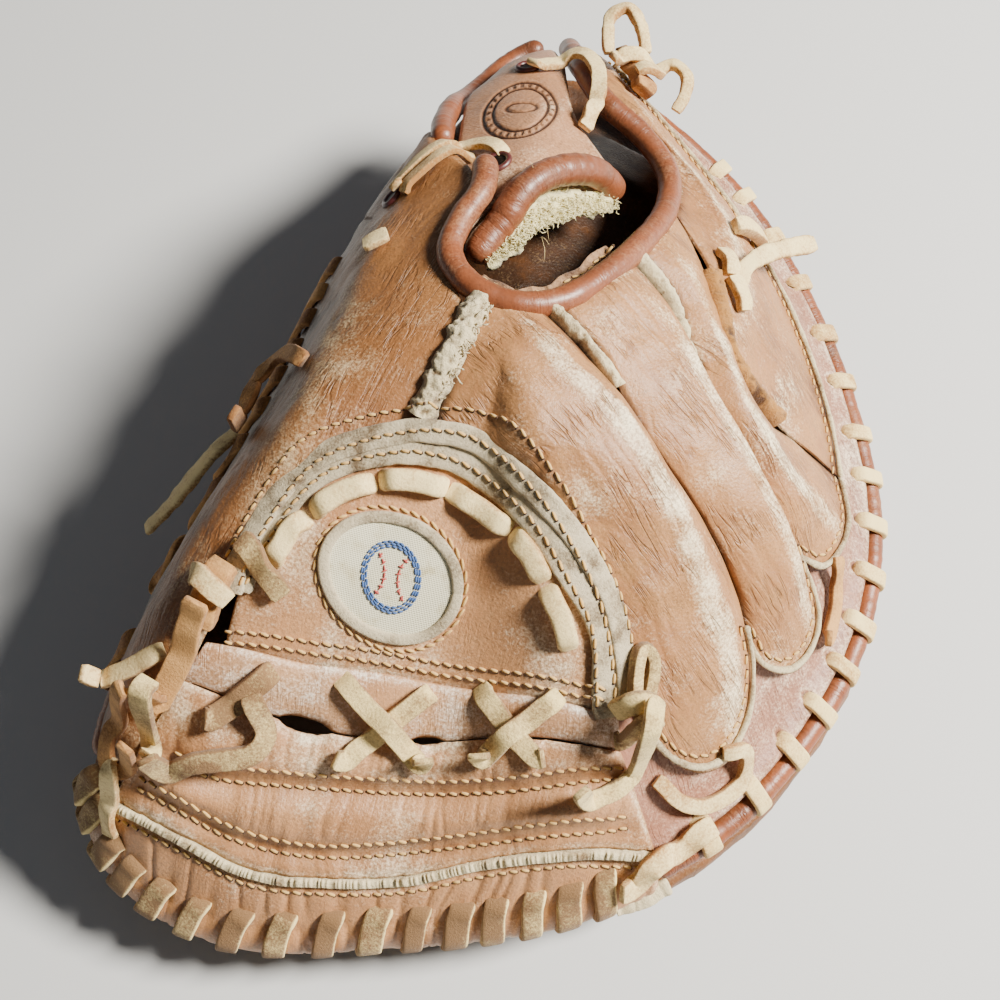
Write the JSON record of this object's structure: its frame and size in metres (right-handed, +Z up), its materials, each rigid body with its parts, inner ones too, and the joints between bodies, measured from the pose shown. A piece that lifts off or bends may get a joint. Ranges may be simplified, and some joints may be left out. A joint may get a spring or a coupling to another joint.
{
  "type": "catcher mitt",
  "caption": "Padded leather catcher's mitt with laced edges, webbing with a patch, and a wrist strap, lying palm down.",
  "frame": {"origin": "middle of the mitt's box, on the surface it lies on", "axes": "+Y from the webbing to the heel, +X towards the finger side, +Z up out of the back of the hand"},
  "size_m": [0.2265, 0.3054, 0.123],
  "materials": {
    "leather": "worn satin",
    "flange": "worn satin",
    "binding": "glossy",
    "palm": "worn matt",
    "rawhide": "dry rawhide",
    "suede": "raw suede edge",
    "cloth": "woven cloth",
    "fleece": "matted fleece"
  },
  "bodies": {
    "root": {"palm_pad": "palm", "finger_flange": "flange", "finger_rim_roll": "binding", "thumb_rim_roll": "binding", "web_edge_roll": "leather", "finger_rim_lace": "rawhide", "thumb_rim_lace": "rawhide", "web_edge_lace": "rawhide", "thumb_back": "leather", "index_back": "leather", "middle_back": "leather", "ring_back": "leather", "little_back": "leather", "thumb_welt": "suede", "index_welt": "suede", "middle_welt": "suede", "ring_welt": "suede", "opening_binding": "binding", "heel_binding": "binding", "strap_binding": "binding", "wrist_strap": "leather", "strap_fleece": "fleece", "web_panel": "leather", "web_strip": "leather", "web_bar": "leather", "web_edge": "leather", "web_arch_band": "suede", "web_fringe": "suede", "patch_ring": "suede", "web_patch": "cloth", "web_arch_lace": "rawhide", "web_end_lace": "rawhide", "web_end_loop": "rawhide", "web_cross_lace_1": "rawhide", "web_cross_lace_2": "rawhide", "index_knot": "rawhide", "index_tail": "rawhide", "index_end_loop": "rawhide", "flange_lace": "rawhide", "little_tail": "rawhide", "heel_knot": "rawhide", "heel_hook": "rawhide", "heel_curl": "rawhide", "strap_lace_left": "rawhide", "strap_lace_right": "rawhide", "thumb_loop": "rawhide", "thumb_tail": "rawhide", "thumb_knot_tab": "rawhide", "thumb_knot": "rawhide", "thumb_strap": "rawhide", "thumb_lace_loop": "rawhide", "thumb_side_tail": "rawhide", "wrist_lace_end": "rawhide"}
  },
  "joints": []
}
